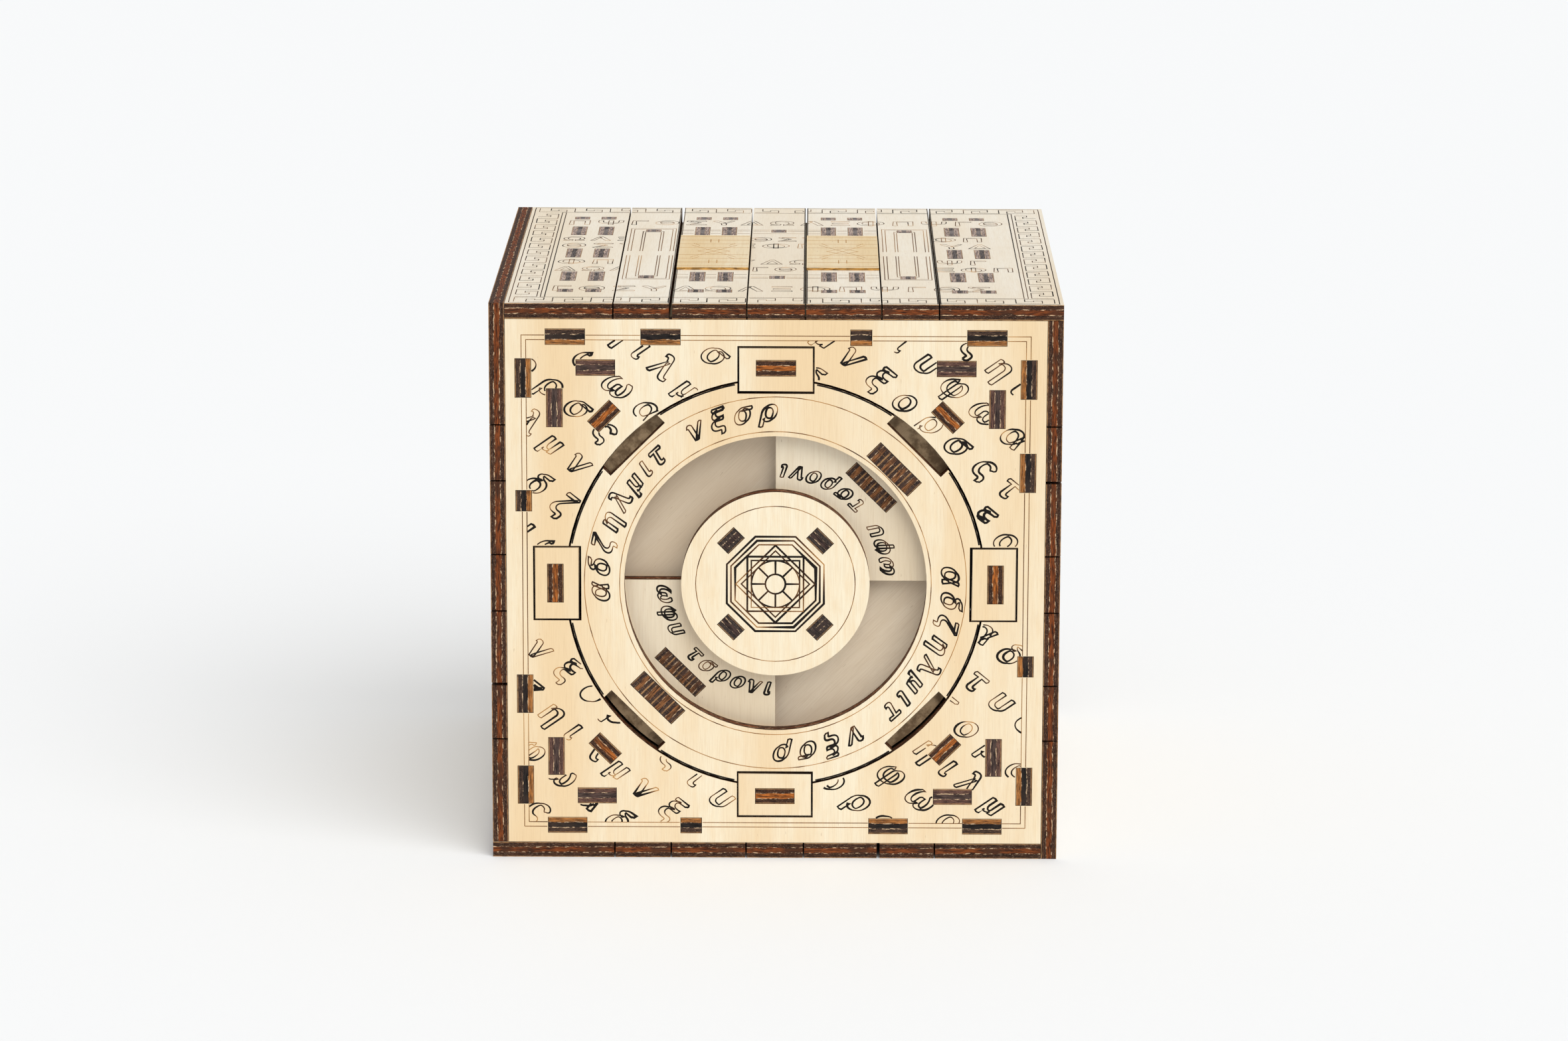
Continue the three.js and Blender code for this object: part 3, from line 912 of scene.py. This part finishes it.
def side_border():
    """Lines round one side: an outer line, a Greek key and an inner line, doubled along the long edges."""
    u0, u1 = SEAMS[0], SEAMS[-1]
    lines = [(rectangle(u0 + 0.8, 0.8, u1 - 0.8, DEEP - 0.8), True)]
    inner = KEY_IN + KEY_HIGH + 0.7
    for inset in (inner, inner + 0.8):
        lines.append(([Vector((u0 + inset, inner)), Vector((u0 + inset, DEEP - inner))], False))
        lines.append(([Vector((u1 - inset, inner)), Vector((u1 - inset, DEEP - inner))], False))
    for v in (inner, DEEP - inner):
        lines.append(([Vector((u0 + inner, v)), Vector((u1 - inner, v))], False))
    across, deep = Vector((1, 0)), Vector((0, 1))
    middle, key_deep = (u0 + u1) / 2, inner + 0.3
    wide_step = (u1 - u0 - 2 * KEY_IN) / 14
    deep_step = (DEEP - 2 * key_deep) / 13
    for v, inward in ((KEY_IN, deep), (DEEP - KEY_IN, -deep)):
        for way in (-1, 1):
            start = Vector((middle - way * 7 * wide_step, v))
            lines.append((greek_key(start, across * (way * wide_step), inward, 7), False))
    for u, inward in ((u0 + KEY_IN, across), (u1 - KEY_IN, -across)):
        lines.append((greek_key(Vector((u, key_deep)), deep * deep_step, inward, 13), False))
    return lines


def door_frames():
    """Double outlines of two facing doors on each narrow slat, and the bands that join them."""
    lines = []
    for middle in (-25.7, 25.7):
        for near, far in ((26.0, 52.5), (57.5, 84.0)):
            for inset in (0.0, 0.9, 3.3, 4.0):
                side = 4.6 - inset * 0.75
                mouth = far if near < 50 else near
                shut = near + inset if near < 50 else far - inset
                lines.append(([Vector((middle - side, mouth)), Vector((middle - side, shut)),
                               Vector((middle + side, shut)), Vector((middle + side, mouth))], False))
    for v in (27.3, 28.6, 31.4, 78.6, 81.4, 82.7):
        lines.append(([Vector((-20.2, v)), Vector((20.2, v))], False))
    return lines


def side_letters(turn):
    """Rows of letters across a whole side: (outline, allowed slats)."""
    everywhere = range(7)
    rows = (
        (13.4, 7.0, everywhere), (35.2, 6.0, (0, 3, 6)), (43.0, 6.4, (0, 3, 6)),
        (61.5, 6.6, (0, 3, 6)), (69.5, 6.0, (0, 3, 6)), (88.6, 6.8, everywhere),
    )
    found = []
    for number, (v, size, allowed) in enumerate(rows):
        row = letter_row(CAPITALS, turn * 3 + number * 4, size, Vector((-44.5, v)), 0, 92)
        found += [(outline, allowed) for outline in row]
    return found


def engrave_tile(name, face, middle, body):
    """Cross lines and a crossed pattern on a raised tile."""
    piece = LineMesh(name, face, body, "tile_ply")
    centre = (TILE_V[0] + TILE_V[1]) / 2
    for step in range(-4, 5):
        if step:
            v = centre + 4.2 * step
            piece.line([Vector((middle - 7.0, v)), Vector((middle + 7.0, v))], False, FINE, 0.05, 0.3)
    for flip in (-1, 1):
        piece.line([Vector((middle - 4.6, centre - 7 * flip)), Vector((middle + 4.6, centre + 7 * flip))],
                   False, FINE, 0.1, 0.3)
        for side in (-0.8, 0.8):
            piece.line([Vector((middle + side, centre + 10 * flip)),
                        Vector((middle + side, centre + 13.5 * flip))], False, FINE, 0.1, 0.3)
            piece.line([Vector((middle + 3.6 * side, centre + 6.4 * flip)),
                        Vector((middle + 5.2 * side, centre + 9.0 * flip))], False, FINE, 0.1, 0.3)
    diamond = [p + Vector((middle, centre)) for p in polygon(3.2, 4, 0)]
    piece.line(diamond, True, FINE, 0.1, 0.3)
    piece.make()


def engrave_side(turn, side):
    along, out = side_axes(turn)
    corner = Z * CENTRE_Z + out * HALF - Y * HALF
    face = Face(corner, along, Y)
    border, doors, letters = side_border(), door_frames(), side_letters(turn)
    end_material = RIB_END_X if abs(along.x) > 0.5 else RIB_END_Z
    for index in range(7):
        left, right = SEAMS[index] + 0.2, SEAMS[index + 1] - (0.2 if index < 6 else 0.0)
        marks = slat_marks(index)
        boxes = [(u - 1.6, v0 - 0.1, u + 1.6, v1 + 0.1) for u, v0, v1 in marks]
        tile = f"tile_{side}_{index + 1}"
        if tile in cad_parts:
            boxes.append((left - 1, TILE_V[0] - 0.2, right + 1, TILE_V[1] + 0.2))
        body = {2: f"slider_{side}_3", 3: f"bolt_{side}", 4: f"slider_{side}_5"}.get(index, "shell")

        def inside(p):
            return left < p.x < right and not in_boxes(p, boxes)

        piece = LineMesh(f"slat_engraving_{side}_{index + 1}", face, body, "shell_ply", end_material)
        for u, v0, v1 in marks:
            piece.inlay(Vector((u, (v0 + v1) / 2)), v1 - v0, RIB_WIDE, 90, 0.1)
        for line, closed in border:
            for run, whole in clip(line, closed, inside, 0.25):
                piece.line(run, whole, 0.21, 0.6, 0.6, index)
        for line, closed in doors:
            for run, whole in clip(line, closed, inside, 0.25):
                piece.line(run, whole, FINE, 0.35, 0.4, index)
        for outline, allowed in letters:
            if index in allowed and any(left < p.x < right for p in outline):
                for run, whole in clip(outline, True, inside):
                    piece.line(run, whole, 0.2, 0.45, 0.8, index)
        for seam, inward in ((index, 1), (index + 1, -1)):
            if seam in BURNT_SEAMS:
                u = SEAMS[seam] + inward * BURNT_SEAMS[seam]
                piece.line([Vector((u, 0.3)), Vector((u, DEEP - 0.3))], False, 0.22, 0.9, 0.5, seam)
        piece.make()
        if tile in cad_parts:
            tile_face = Face(corner + out * (TILE_TOP - HALF), along, Y)
            engrave_tile(f"tile_engraving_{side}_{index + 1}", tile_face, (left + right) / 2, body)


KEY_END = end_grain("key_end_grain", Vector((-1, 0, 1)).normalized(),
                    (0.045, 0.026, 0.02, 1), (0.23, 0.095, 0.035, 1))
PEG_END = end_grain("peg_end_grain", Vector((1, 0, 1)).normalized(),
                    (0.035, 0.027, 0.025, 1), (0.06, 0.035, 0.03, 1))
RIB_END_X = end_grain("rib_end_grain_x", X, GREY_PLY, GREY_CORE)
RIB_END_Z = end_grain("rib_end_grain_z", Z, GREY_PLY, GREY_CORE)

engrave_front()
engrave_back()
engrave_ring_and_gap_shade()
paint_tab_gap_shadows()
engrave_dial()
engrave_disc()
for side_turn, side_name in enumerate(SIDES):
    engrave_side(side_turn, side_name)
